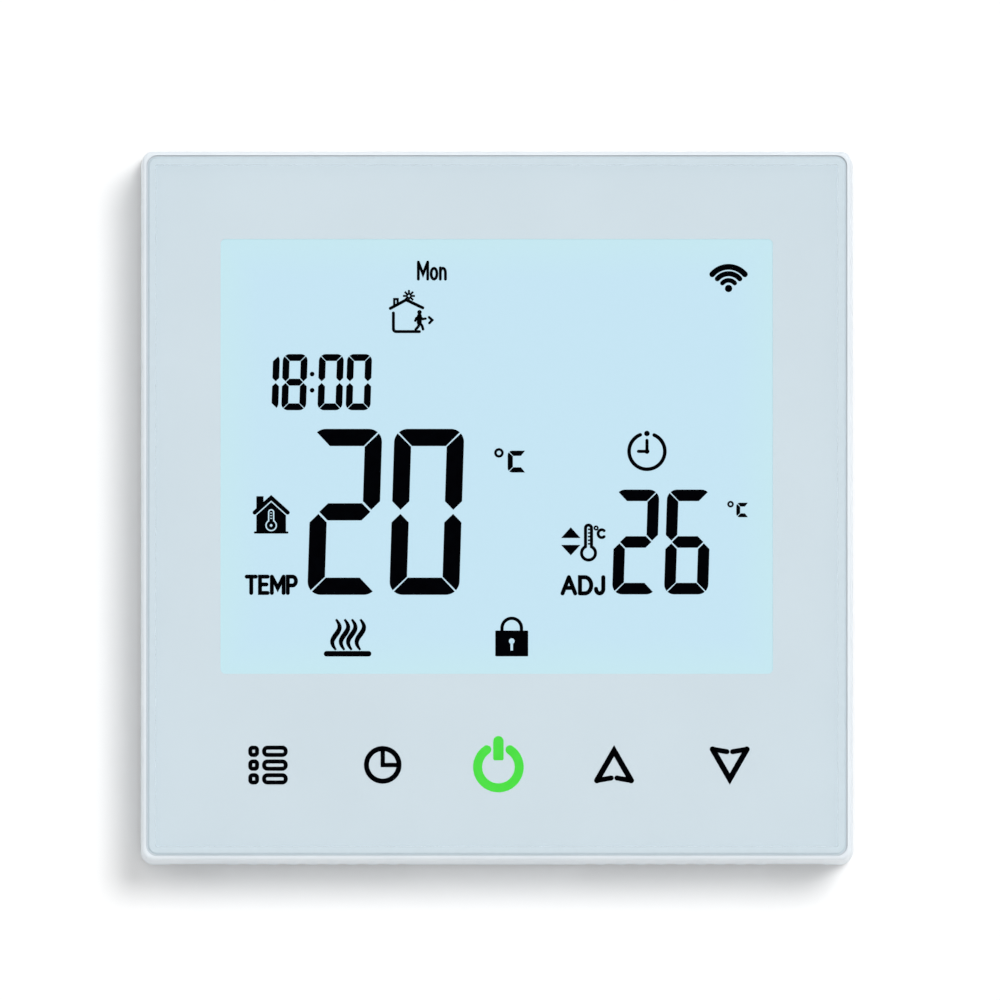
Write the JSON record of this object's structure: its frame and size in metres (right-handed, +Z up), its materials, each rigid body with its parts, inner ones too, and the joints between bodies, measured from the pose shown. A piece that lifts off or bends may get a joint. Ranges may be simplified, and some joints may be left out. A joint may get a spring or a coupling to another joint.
{
  "type": "wall thermostat",
  "caption": "Square wall thermostat: a touch face with a backlit segment display that clips on a wall plate with a power box and screw terminals.",
  "frame": {"origin": "midway between the wall screws, on the wall's surface", "axes": "+X right along the face seen from the room, +Y into the wall, +Z up"},
  "size_m": [0.086, 0.0387, 0.086],
  "materials": {
    "clear_lens": "clear, glossy",
    "printed_film": "pale print seen through the lens",
    "white_housing": "fine moulded grain",
    "polariser": "smooth film, lit from behind",
    "display_glass": "clear",
    "tinned_metal": "tinned",
    "diffuser": "milky film",
    "light_guide": "clear",
    "reflector": "white, glossy",
    "tray": "white",
    "lamp": "milky case with a yellow middle",
    "circuit_board": "green varnish over copper tracks",
    "spring_steel": "drawn wire",
    "chip": "moulded, satin",
    "shield_can": "pressed, satin",
    "resistor": "glazed top with tinned ends",
    "sensor_bead": "dipped",
    "connector": "moulded, satin",
    "zinc_screw": "zinc plated",
    "galvanised_plate": "zinc coated, satin",
    "white_box": "fine moulded grain",
    "gold_pin": "thin gold plate",
    "relay_case": "moulded, satin",
    "ferrite": "matt, ground",
    "winding_tape": "thin film tape",
    "can_sleeve": "shrunk sleeve",
    "film_case": "moulded, satin",
    "varistor_coat": "dipped",
    "fuse_case": "moulded, satin",
    "terminal_case": "moulded, satin",
    "contact_brass": "pressed, bright",
    "clamp_steel": "plated"
  },
  "bodies": {
    "base": {"mounting_plate": "galvanised_plate", "plate_catches": "galvanised_plate", "rear_housing": "white_box", "flange_screws": "zinc_screw", "inner_cover": "white_box", "cover_screws": "zinc_screw", "power_board": "circuit_board", "pin_header": "connector", "header_pins": "gold_pin", "relay": "relay_case", "transformer_core": "ferrite", "transformer_winding": "winding_tape", "bulk_capacitor": "can_sleeve", "output_capacitor": "can_sleeve", "film_capacitor": "film_case", "varistor": "varistor_coat", "fuse": "fuse_case", "bridge_rectifier": "chip", "supply_chip": "chip", "terminal_block": "terminal_case", "terminal_contacts": "contact_brass"},
    "front_unit": {"face_lens": "clear_lens", "face_mask": "printed_film", "front_housing": "white_housing", "front_polariser": "polariser", "lcd_cell": "display_glass", "lcd_pins": "tinned_metal", "rear_polariser": "polariser", "diffuser_film": "diffuser", "light_guide": "light_guide", "reflector_film": "reflector", "backlight_tray": "tray", "backlight_lamps": "lamp", "main_board": "circuit_board", "touch_springs": "spring_steel", "key_lamps": "lamp", "controller_chip": "chip", "touch_chip": "chip", "wifi_board": "circuit_board", "wifi_shield": "shield_can", "clock_crystal": "shield_can", "board_resistors": "resistor", "room_sensor": "sensor_bead", "front_socket": "connector", "board_screws": "zinc_screw"},
    "terminal_screw_1": {"terminal_screw_1": "zinc_screw"},
    "terminal_clamp_1": {"terminal_clamp_1": "clamp_steel"},
    "terminal_screw_2": {"terminal_screw_2": "zinc_screw"},
    "terminal_clamp_2": {"terminal_clamp_2": "clamp_steel"},
    "terminal_screw_3": {"terminal_screw_3": "zinc_screw"},
    "terminal_clamp_3": {"terminal_clamp_3": "clamp_steel"},
    "terminal_screw_4": {"terminal_screw_4": "zinc_screw"},
    "terminal_clamp_4": {"terminal_clamp_4": "clamp_steel"},
    "terminal_screw_5": {"terminal_screw_5": "zinc_screw"},
    "terminal_clamp_5": {"terminal_clamp_5": "clamp_steel"},
    "terminal_screw_6": {"terminal_screw_6": "zinc_screw"},
    "terminal_clamp_6": {"terminal_clamp_6": "clamp_steel"}
  },
  "joints": [
    {"name": "front_release", "type": "slide", "parent": "base", "child": "front_unit", "axis": [0, -1, 0], "range_m": [0, 0.03], "deforming": ["plate_catches"]},
    {"name": "screw_turn_1", "type": "hinge", "parent": "base", "child": "terminal_screw_1", "pos_m": [-0.0125, 0.018, -0.01842], "axis": [0, -1, 0], "range_deg": [0, 1873]},
    {"name": "clamp_rise_1", "type": "slide", "parent": "base", "child": "terminal_clamp_1", "axis": [0, 1, 0], "range_m": [0, 0.0026]},
    {"name": "screw_turn_2", "type": "hinge", "parent": "base", "child": "terminal_screw_2", "pos_m": [-0.0075, 0.018, -0.01842], "axis": [0, -1, 0], "range_deg": [0, 1873]},
    {"name": "clamp_rise_2", "type": "slide", "parent": "base", "child": "terminal_clamp_2", "axis": [0, 1, 0], "range_m": [0, 0.0026]},
    {"name": "screw_turn_3", "type": "hinge", "parent": "base", "child": "terminal_screw_3", "pos_m": [-0.0025, 0.018, -0.01842], "axis": [0, -1, 0], "range_deg": [0, 1873]},
    {"name": "clamp_rise_3", "type": "slide", "parent": "base", "child": "terminal_clamp_3", "axis": [0, 1, 0], "range_m": [0, 0.0026]},
    {"name": "screw_turn_4", "type": "hinge", "parent": "base", "child": "terminal_screw_4", "pos_m": [0.0025, 0.018, -0.01842], "axis": [0, -1, 0], "range_deg": [0, 1873]},
    {"name": "clamp_rise_4", "type": "slide", "parent": "base", "child": "terminal_clamp_4", "axis": [0, 1, 0], "range_m": [0, 0.0026]},
    {"name": "screw_turn_5", "type": "hinge", "parent": "base", "child": "terminal_screw_5", "pos_m": [0.0075, 0.018, -0.01842], "axis": [0, -1, 0], "range_deg": [0, 1873]},
    {"name": "clamp_rise_5", "type": "slide", "parent": "base", "child": "terminal_clamp_5", "axis": [0, 1, 0], "range_m": [0, 0.0026]},
    {"name": "screw_turn_6", "type": "hinge", "parent": "base", "child": "terminal_screw_6", "pos_m": [0.0125, 0.018, -0.01842], "axis": [0, -1, 0], "range_deg": [0, 1873]},
    {"name": "clamp_rise_6", "type": "slide", "parent": "base", "child": "terminal_clamp_6", "axis": [0, 1, 0], "range_m": [0, 0.0026]}
  ],
  "couplings": [
    {"joint": "screw_turn_1", "follows": "clamp_rise_1", "rad_per_m": 12566},
    {"joint": "screw_turn_2", "follows": "clamp_rise_2", "rad_per_m": 12566},
    {"joint": "screw_turn_3", "follows": "clamp_rise_3", "rad_per_m": 12566},
    {"joint": "screw_turn_4", "follows": "clamp_rise_4", "rad_per_m": 12566},
    {"joint": "screw_turn_5", "follows": "clamp_rise_5", "rad_per_m": 12566},
    {"joint": "screw_turn_6", "follows": "clamp_rise_6", "rad_per_m": 12566}
  ]
}
